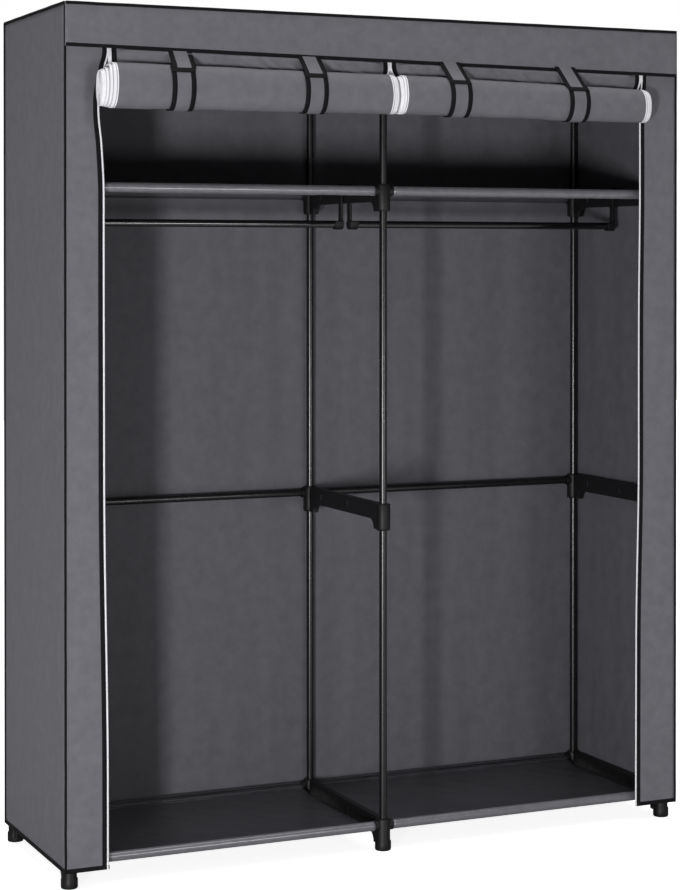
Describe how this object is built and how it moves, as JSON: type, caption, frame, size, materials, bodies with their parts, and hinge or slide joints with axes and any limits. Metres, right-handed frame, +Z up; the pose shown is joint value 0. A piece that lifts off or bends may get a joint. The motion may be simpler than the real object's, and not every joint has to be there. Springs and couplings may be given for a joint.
{
  "type": "portable fabric wardrobe",
  "caption": "Free-standing cloth wardrobe on a tube frame, with open hanging bays, cloth shelves and two rolled-up zip curtains.",
  "frame": {"origin": "on the floor, under the middle of the whole outline, curtain rolls included", "axes": "+Z up, -Y towards the open front, +X to the right of someone who faces the front"},
  "size_m": [1.4, 0.4916, 1.74],
  "materials": {
    "cover_cloth": "grey non-woven cloth",
    "curtain_cloth": "grey non-woven cloth",
    "shelf_cloth": "dark grey non-woven cloth",
    "frame_tube": "black powder coat, satin",
    "connector_plastic": "moulded black",
    "zip_plastic": "white"
  },
  "bodies": {
    "root": {"base_beam_left": "connector_plastic", "base_beam_centre": "connector_plastic", "base_beam_right": "connector_plastic", "mid_beam_left": "connector_plastic", "mid_beam_centre": "connector_plastic", "mid_beam_right": "connector_plastic", "shelf_beam_left": "connector_plastic", "shelf_beam_centre": "connector_plastic", "shelf_beam_right": "connector_plastic", "top_beam_left": "connector_plastic", "top_beam_centre": "connector_plastic", "top_beam_right": "connector_plastic", "upright_front_left": "frame_tube", "upright_front_centre": "frame_tube", "upright_front_right": "frame_tube", "upright_rear_left": "frame_tube", "upright_rear_centre": "frame_tube", "upright_rear_right": "frame_tube", "base_rail_front_left": "frame_tube", "base_rail_front_right": "frame_tube", "base_rail_rear_left": "frame_tube", "base_rail_rear_right": "frame_tube", "mid_rail_rear_left": "frame_tube", "mid_rail_rear_right": "frame_tube", "shelf_rail_front_left": "frame_tube", "shelf_rail_front_right": "frame_tube", "shelf_rail_rear_left": "frame_tube", "shelf_rail_rear_right": "frame_tube", "top_rail_front": "frame_tube", "top_rail_rear": "frame_tube", "rod_hanger_left": "connector_plastic", "rod_hanger_centre": "connector_plastic", "rod_hanger_right": "connector_plastic", "base_shelf_left": "shelf_cloth", "base_shelf_right": "shelf_cloth", "upper_shelf_left": "shelf_cloth", "upper_shelf_right": "shelf_cloth", "roof_panel": "cover_cloth", "back_panel": "cover_cloth", "side_panel_left": "cover_cloth", "side_panel_right": "cover_cloth", "front_stile_left": "cover_cloth", "front_stile_right": "cover_cloth", "front_valance": "cover_cloth", "curtain_header_left": "curtain_cloth", "curtain_header_right": "curtain_cloth", "strap_left_1": "curtain_cloth", "strap_left_2": "curtain_cloth", "strap_right_1": "curtain_cloth", "strap_right_2": "curtain_cloth"},
    "left_curtain": {"curtain_roll_left": "curtain_cloth"},
    "right_curtain": {"curtain_roll_right": "curtain_cloth"},
    "left_rod": {"hanging_rod_left": "frame_tube"},
    "right_rod": {"hanging_rod_right": "frame_tube"},
    "left_zip": {"zip_slider_left": "zip_plastic"},
    "centre_zip": {"zip_slider_centre": "zip_plastic"},
    "right_zip": {"zip_slider_right": "zip_plastic"},
    "left_pull": {"zip_pull_left": "zip_plastic"},
    "centre_pull": {"zip_pull_centre": "zip_plastic"},
    "right_pull": {"zip_pull_right": "zip_plastic"}
  },
  "joints": [
    {"name": "left_curtain_drop", "type": "slide", "parent": "root", "child": "left_curtain", "axis": [0, 0, -1], "range_m": [0, 1.485], "deforming": ["curtain_header_left", "strap_left_1", "strap_left_2"]},
    {"name": "right_curtain_drop", "type": "slide", "parent": "root", "child": "right_curtain", "axis": [0, 0, -1], "range_m": [0, 1.485], "deforming": ["curtain_header_right", "strap_right_1", "strap_right_2"]},
    {"name": "left_rod_lift", "type": "slide", "parent": "root", "child": "left_rod", "axis": [0, 0, 1], "range_m": [0, 0.03]},
    {"name": "right_rod_lift", "type": "slide", "parent": "root", "child": "right_rod", "axis": [0, 0, 1], "range_m": [0, 0.03]},
    {"name": "left_zip_run", "type": "slide", "parent": "root", "child": "left_zip", "axis": [0, 0, -1], "range_m": [0, 0.015]},
    {"name": "centre_zip_run", "type": "slide", "parent": "root", "child": "centre_zip", "axis": [0, 0, -1], "range_m": [0, 0.015]},
    {"name": "right_zip_run", "type": "slide", "parent": "root", "child": "right_zip", "axis": [0, 0, -1], "range_m": [0, 0.015]},
    {"name": "left_pull_swing", "type": "hinge", "parent": "left_zip", "child": "left_pull", "pos_m": [-0.609, -0.18965, 1.6455], "axis": [-1, 0, 0], "range_deg": [0, 150]},
    {"name": "centre_pull_swing", "type": "hinge", "parent": "centre_zip", "child": "centre_pull", "pos_m": [0, -0.18965, 1.6455], "axis": [-1, 0, 0], "range_deg": [0, 150]},
    {"name": "right_pull_swing", "type": "hinge", "parent": "right_zip", "child": "right_pull", "pos_m": [0.609, -0.18965, 1.6455], "axis": [-1, 0, 0], "range_deg": [0, 150]}
  ]
}
